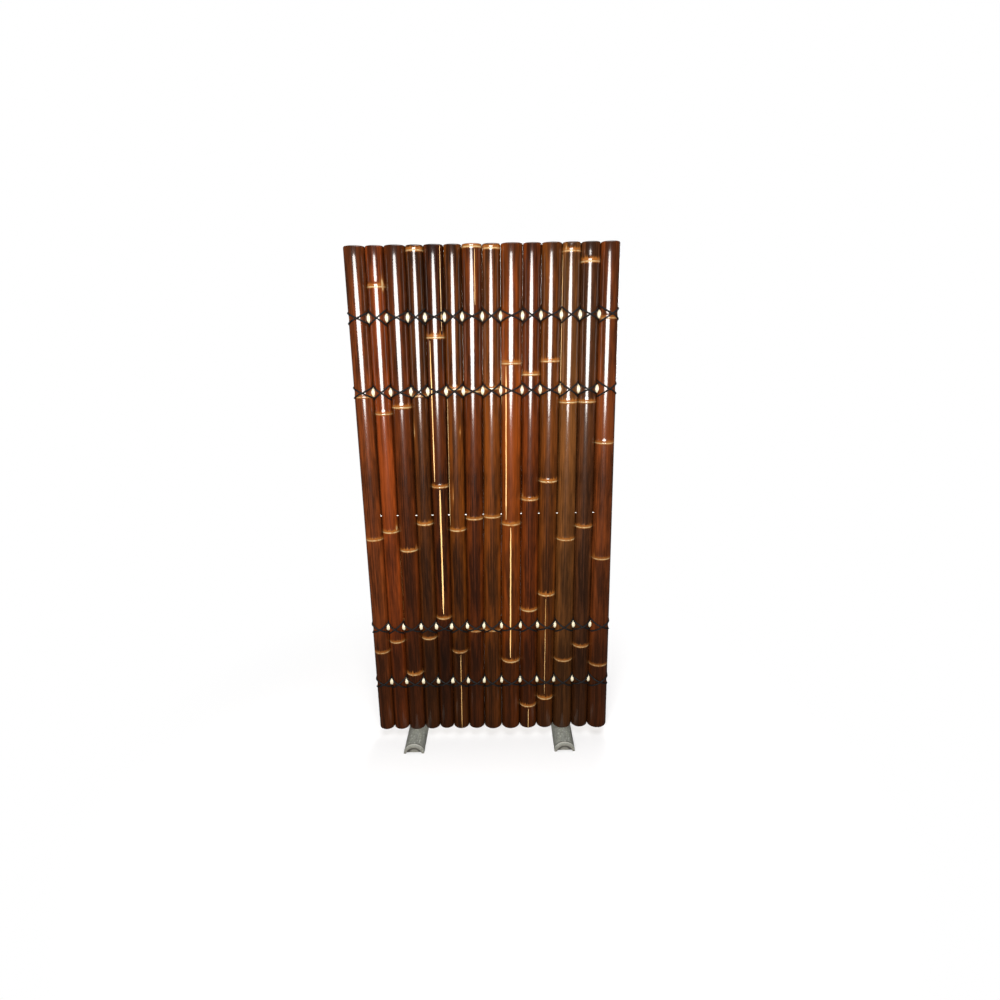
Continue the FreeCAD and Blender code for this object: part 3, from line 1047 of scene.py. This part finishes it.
class FENCE_OT_rods(bpy.types.Operator):
    """Builds the peeled rods that run through the culms"""
    bl_idname = "fence.rods"
    bl_label = "Rods"

    def execute(self, context):
        tree = bar_tree("rod", pale_rod())
        wobble = 0.0002
        radius = context.scene.fence_rods.diameter / 2 - wobble
        for row, node in enumerate(RODS, 1):
            build_bar(node, tree, "pale_rod", radius, rounding=0.0012, sides=64, wobble=wobble,
                      seed=11.0 * row)
        return {"FINISHED"}


class FENCE_OT_wire(bpy.types.Operator):
    """Builds the bright wire through the culms at mid height"""
    bl_idname = "fence.wire"
    bl_label = "Wire"

    def execute(self, context):
        tree = bar_tree("wire", galvanised_wire())
        radius = context.scene.fence_rods.wire / 2
        build_bar("middle_wire", tree, "galvanised_wire", radius, rounding=0.0008, sides=28,
                  wobble=0.0, seed=5.0)
        return {"FINISHED"}


# Lashings

def ring_bump(culm, height):
    """How much a node ring lifts a cord that passes over it."""
    away = (from_ring(culm.nodes, height) - RIDGE_MIDDLE) / RIDGE_SPREAD
    return bpy.context.scene.fence_culms.ridge * math.exp(-away ** 2)


def soft_step(value, low, high):
    """Goes softly from 0 to 1 between two values."""
    share = min(1.0, max(0.0, (value - low) / (high - low)))
    return share * share * (3.0 - 2.0 * share)


def half_turn(index, row, facing, left_level, right_level, lift):
    """Points of a cord over the front or the back of one culm, from the left gap to the right."""
    settings = bpy.context.scene.fence_culms
    cords = bpy.context.scene.fence_cords
    culm = culms[index]
    points = []
    for degrees in range(-90, 91, 10):
        angle = math.radians(degrees)
        share = 0.5 * (0.6 * math.sin(angle) + 0.4 * angle / (math.pi / 2)) + 0.5
        height = row - settings.stand + left_level + (right_level - left_level) * share
        open_side = math.cos(angle)
        free = soft_step(open_side, 0.16, 0.66)
        full = settings.swell + cords.full / 2 + ring_bump(culm, height)
        out = radius_at(culm, height) + settings.gap / 2 + (full - settings.gap / 2) * free
        out += lift * soft_step(open_side, 0.72, 0.98)
        thick = (cords.pinch + (cords.full - cords.pinch) * free) / 2
        place = (centre_x(index, height) + out * math.sin(angle), -facing * out * open_side,
                 height + settings.stand)
        points.append(Point(place, thick))
    return points


def lacing(row, start_side):
    """The endless line of one cord of a row: out over every other culm, and back over the others."""
    rods = bpy.context.scene.fence_rods
    cords = bpy.context.scene.fence_cords
    inner = rods.diameter / 2 + cords.size
    outer = rods.diameter / 2 + 3 * cords.size
    last = len(culms) - 1
    points = []
    for returning in (False, True):
        order = range(last, -1, -1) if returning else range(last + 1)
        for index in order:
            facing = 1 if (index % 2 == 0) != returning else -1
            level = outer if returning else inner
            rising = start_side if index % 2 == 0 else -start_side
            left_level = inner if index == 0 else level
            right_level = inner if index == last else level
            lift = cords.size + 0.0002 if start_side * facing > 0 else 0.0
            turn = half_turn(index, row, facing, -rising * left_level, rising * right_level, lift)
            if returning:
                turn.reverse()
            points += turn[:-1]
    return (SPINE, True, points)


class FENCE_OT_lashings(bpy.types.Operator):
    """Builds the twisted cords that cross every culm in front and behind"""
    bl_idname = "fence.lashings"
    bl_label = "Lashings"

    def execute(self, context):
        settings = context.scene.fence_cords
        tree = cord_tree(black_cord())
        sizes = {"Pitch": settings.pitch, "Step": settings.step, "Points": 12, "Groove": 0.24}
        for number, rod in enumerate(RODS, 1):
            row = axis_of(rod)[1]
            node = "lashing_%d" % number
            piece = grow("dressed_" + node, [lacing(row, 1), lacing(row, -1)], tree, sizes)
            settle(piece, "black_cord", node)
        return {"FINISHED"}


# Feet and pegs

def foot_lines(settings):
    """The lines of a foot in its own frame, upright: its axis and the bores between its diaphragms."""
    half = settings.length / 2
    node = half - settings.node_inset
    nodes = (-node, node)
    heights = set()
    for sign in (-1, 1):
        heights.update(sign * (half - FOOT_ROUNDING * share) for share in EDGE_SHARES)
        heights.update(sign * node + step for step in RING_STEPS if abs(sign * node + step) < half)
    plain = [-half + settings.length * number / FOOT_STEPS for number in range(1, FOOT_STEPS)]
    heights.update(height for height in plain if abs(from_ring(nodes, height)) > RING_REACH)
    axis = []
    for height in sorted(heights):
        reach = settings.radius - sawn_edge(height + half, settings.length, FOOT_ROUNDING)
        axis.append(Point((0.0, 0.0, height), reach, from_ring(nodes, height)))
    bore = settings.radius - settings.wall
    wall = bpy.context.scene.fence_culms.diaphragm / 2
    ends = ((-half - PAST_END, -node - wall), (-node + wall, node - wall),
            (node + wall, half + PAST_END))
    return [(SPINE, False, axis)] + [bore_line(low, high, bore) for low, high in ends]


class FENCE_OT_feet(bpy.types.Operator):
    """Builds the weathered split feet"""
    bl_idname = "fence.feet"
    bl_label = "Feet"

    def execute(self, context):
        settings = context.scene.fence_feet
        tree = foot_tree(weathered_bamboo(), weathered_cut())
        floor = settings.radius - settings.height
        for number, node in enumerate(("left_foot", "right_foot")):
            low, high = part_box(node)
            sizes = {"Sides": 96, "Ridge": 0.0016, "Sheath Scar": 0.0010, "Wobble": 0.0006,
                     "Seed": 21.0 + 9 * number, "Floor": floor}
            piece = grow("dressed_" + node, foot_lines(settings), tree, sizes)
            middle = Matrix.Translation(((low[0] + high[0]) / 2, 0.0, -floor))
            piece.data.transform(middle @ Matrix.Rotation(math.radians(90), 4, "X"))
            settle(piece, "weathered_bamboo", node)
        return {"FINISHED"}


class FENCE_OT_pegs(bpy.types.Operator):
    """Gives the pegs inside the culms their wood"""
    bl_idname = "fence.pegs"
    bl_label = "Pegs"

    def execute(self, context):
        wood = peg_wood()
        for node in ("left_peg", "right_peg"):
            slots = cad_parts[node].data.materials
            slots.clear()
            slots.append(wood)
        return {"FINISHED"}


# Stage

def area_light(name, setup, power):
    """An oval light that faces a place."""
    data = bpy.data.lights.new(name, "AREA")
    data.shape = "ELLIPSE"
    data.size = setup.width
    data.size_y = setup.height
    data.energy = power
    data.color = setup.colour
    light = bpy.data.objects.new(name, data)
    light.location = setup.place
    ahead = Vector(setup.target) - Vector(setup.place)
    light.rotation_euler = ahead.to_track_quat("-Z", "Y").to_euler()
    light.visible_camera = False
    bpy.context.scene.collection.objects.link(light)


def studio_world(strength):
    """White all round for the eye and for soft light, and dim in what the lacquer mirrors."""
    world = bpy.data.worlds.new("studio")
    world.use_nodes = True
    tree = world.node_tree
    soft = tree.nodes["Background"]
    feed(tree, soft, {"Color": WHITE, "Strength": strength})
    white = result(tree, "ShaderNodeBackground", {"Color": WHITE, "Strength": 1.0})
    dim = result(tree, "ShaderNodeBackground", {"Color": (1.0, 0.95, 0.9, 1.0), "Strength": 0.05})
    path = tree.nodes.new("ShaderNodeLightPath").outputs
    mirrored = result(tree, "ShaderNodeMixShader",
                      {0: path["Is Glossy Ray"], 1: soft.outputs[0], 2: dim})
    seen = result(tree, "ShaderNodeMixShader", {0: path["Is Camera Ray"], 1: mirrored, 2: white})
    feed(tree, tree.nodes["World Output"], {"Surface": seen})
    bpy.context.scene.world = world


def pale_floor(colour):
    """A wide pale floor: it takes soft shadows near the panel and is plain white farther off."""
    side = FLOOR_SIDE
    mesh = bpy.data.meshes.new("floor")
    corners = [(-side, -side, 0.0), (side, -side, 0.0), (side, side, 0.0), (-side, side, 0.0)]
    mesh.from_pydata(corners, [], [(0, 1, 2, 3)])
    floor = bpy.data.objects.new("floor", mesh)
    bpy.context.scene.collection.objects.link(floor)
    material, tree, shader = new_material("pale_floor")
    speckle = grain(tree, object_place(tree), (3.0, 3.0, 3.0), 2.0)
    light = tuple(colour)
    shade = tuple(value * 0.985 for value in light[:3]) + (1.0,)
    feed(tree, shader, {"Base Color": blend(tree, speckle, light, shade), "Roughness": 0.9,
                        "Specular IOR Level": 0.1})
    away = length_of(tree, object_place(tree))
    white = result(tree, "ShaderNodeEmission", {"Color": WHITE, "Strength": 1.0})
    mixed = result(tree, "ShaderNodeMixShader",
                   {0: remap(tree, away, 0.6, 1.5, 0.2, 1.0), 1: shader.outputs[0], 2: white})
    feed(tree, tree.nodes["Material Output"], {"Surface": mixed})
    mesh.materials.append(material)
    floor.visible_glossy = False
    floor.visible_diffuse = False


def photo_camera(settings):
    """The camera where the photograph was taken from."""
    data = bpy.data.cameras.new("camera")
    data.sensor_width = SENSOR_WIDTH
    data.lens = settings.focal_pixels * SENSOR_WIDTH / IMAGE_SIDE
    data.clip_end = 200.0
    level = math.cos(settings.pitch)
    ahead = Vector((math.sin(settings.yaw) * level, math.cos(settings.yaw) * level,
                    -math.sin(settings.pitch)))
    side = ahead.cross(Vector((0.0, 0.0, 1.0))).normalized()
    top = side.cross(ahead)
    right = side * math.cos(settings.roll) + top * math.sin(settings.roll)
    above = right.cross(ahead)
    turn = Matrix((right, above, -ahead)).transposed()
    camera = bpy.data.objects.new("camera", data)
    camera.matrix_world = Matrix.Translation(settings.camera_place) @ turn.to_4x4()
    bpy.context.scene.collection.objects.link(camera)
    bpy.context.scene.camera = camera


class FENCE_OT_stage(bpy.types.Operator):
    """Sets the floor, the soft light and the camera"""
    bl_idname = "fence.stage"
    bl_label = "Stage"

    def execute(self, context):
        settings = context.scene.fence_stage
        context.scene.view_settings.view_transform = "Standard"
        studio_world(settings.fill)
        pale_floor(settings.floor_colour)
        for name, setup in LIGHTS.items():
            area_light(name + "_light", setup, getattr(settings, name + "_power"))
        photo_camera(settings)
        return {"FINISHED"}


OPERATORS = (FENCE_OT_culms, FENCE_OT_rods, FENCE_OT_lashings, FENCE_OT_wire, FENCE_OT_feet,
             FENCE_OT_pegs, FENCE_OT_stage)

SETTINGS = {
    "fence_culms": FenceCulmSettings,
    "fence_rods": FenceRodSettings,
    "fence_cords": FenceCordSettings,
    "fence_feet": FenceFootSettings,
    "fence_stage": FenceStageSettings,
}


class FENCE_PT_panel(bpy.types.Panel):
    """Lists the fence's settings and what builds it"""
    bl_idname = "FENCE_PT_panel"
    bl_label = "Bamboo Fence"
    bl_space_type = "VIEW_3D"
    bl_region_type = "UI"
    bl_category = "Fence"

    def draw(self, context):
        for label in SETTINGS:
            box = self.layout.box()
            box.label(text=label.replace("_", " ").title())
            group = getattr(context.scene, label)
            for name in group.__annotations__:
                box.prop(group, name)
        for operator in OPERATORS:
            self.layout.operator(operator.bl_idname)


def register():
    """Registers the settings, the operators and the panel."""
    for label, group in SETTINGS.items():
        bpy.utils.register_class(group)
        setattr(bpy.types.Scene, label, PointerProperty(type=group))
    for operator in OPERATORS:
        bpy.utils.register_class(operator)
    bpy.utils.register_class(FENCE_PT_panel)


def unregister():
    """Takes back what register did."""
    bpy.utils.unregister_class(FENCE_PT_panel)
    for operator in reversed(OPERATORS):
        bpy.utils.unregister_class(operator)
    for label, group in SETTINGS.items():
        delattr(bpy.types.Scene, label)
        bpy.utils.unregister_class(group)


def main():
    register()
    bpy.ops.fence.culms()
    bpy.ops.fence.rods()
    bpy.ops.fence.lashings()
    bpy.ops.fence.wire()
    bpy.ops.fence.feet()
    bpy.ops.fence.pegs()
    bpy.ops.fence.stage()


if __name__ == "__main__":
    main()
